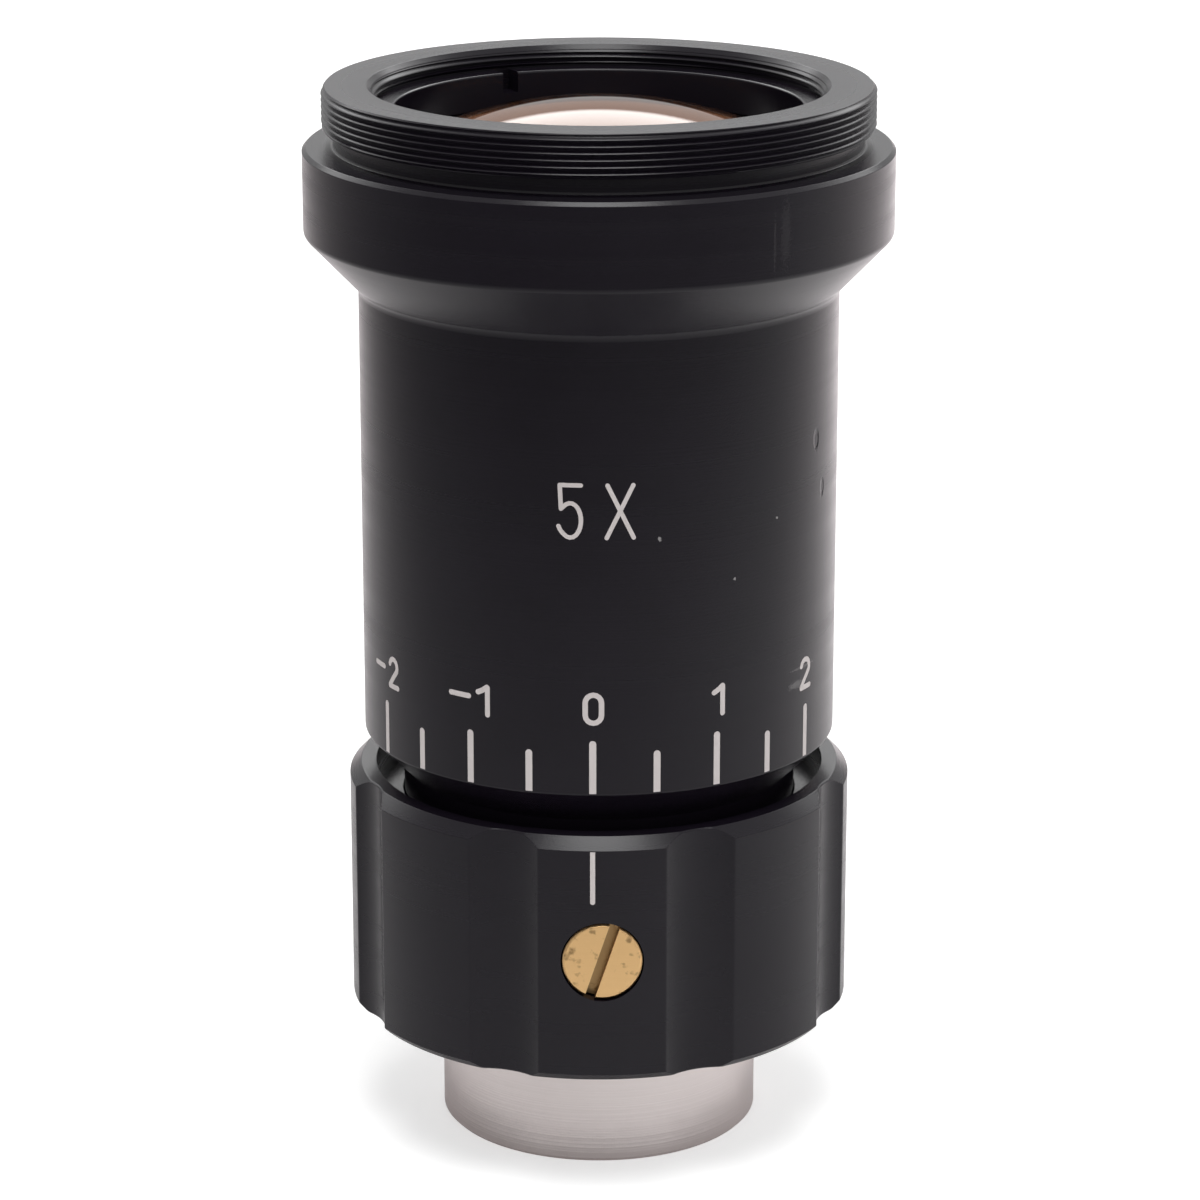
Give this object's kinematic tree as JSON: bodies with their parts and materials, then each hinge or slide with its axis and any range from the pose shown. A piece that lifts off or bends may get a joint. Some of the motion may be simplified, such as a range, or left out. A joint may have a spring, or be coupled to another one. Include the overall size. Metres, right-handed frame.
{
  "type": "laser beam expander",
  "caption": "Slim cylindrical laser beam expander with a fluted focus ring, a scale, a brass lock screw and a bare input tube.",
  "frame": {"origin": "centre of the input tube's lower end face, on the optical axis", "axes": "+Z along the optical axis from the input to the output lens, -Y towards the index line and the brass screw, +X to the right of someone who faces them"},
  "size_m": [0.045, 0.045, 0.083],
  "materials": {
    "black_anodised": "satin black anodised",
    "bare_aluminium": "fine turned",
    "brass": "turned, slightly worn",
    "steel": "ground",
    "coated_glass": "polished, antireflection coated",
    "black_rubber": "moulded",
    "white_nylon": "cut",
    "bronze": "rolled sheet"
  },
  "bodies": {
    "input_group": {"input_tube": "bare_aluminium", "input_cell": "black_anodised", "input_lens": "coated_glass", "input_retaining_ring": "black_anodised", "cell_lock_ring": "black_anodised"},
    "focus_ring_group": {"focus_ring": "black_anodised", "ring_nut": "black_anodised", "slip_washer_lower": "bronze", "slip_washer_upper": "bronze"},
    "barrel_group": {"barrel": "black_anodised", "output_lens": "coated_glass", "output_o_ring": "black_rubber", "output_retaining_ring": "black_anodised", "drive_pin": "steel"},
    "lock_pad_body": {"lock_pad": "white_nylon"},
    "lock_screw_body": {"lock_screw": "brass"}
  },
  "joints": [
    {"name": "focus_turn", "type": "hinge", "parent": "input_group", "child": "focus_ring_group", "pos_m": [0, 0, 0.0196], "axis": [0, 0, 1], "range_deg": [-60, 60]},
    {"name": "barrel_slide", "type": "slide", "parent": "input_group", "child": "barrel_group", "axis": [0, 0, 1], "range_m": [-0.002, 0.002]},
    {"name": "lock_feed", "type": "slide", "parent": "focus_ring_group", "child": "lock_pad_body", "axis": [0, -1, 0], "range_m": [-0.000083333, 0.0005]},
    {"name": "lock_turn", "type": "hinge", "parent": "lock_pad_body", "child": "lock_screw_body", "pos_m": [0, -0.0181, 0.0196], "axis": [0, -1, 0], "range_deg": [-30, 180]}
  ],
  "couplings": [
    {"joint": "focus_turn", "follows": "barrel_slide", "rad_per_m": 523.6},
    {"joint": "lock_turn", "follows": "lock_feed", "rad_per_m": 6283.2}
  ]
}
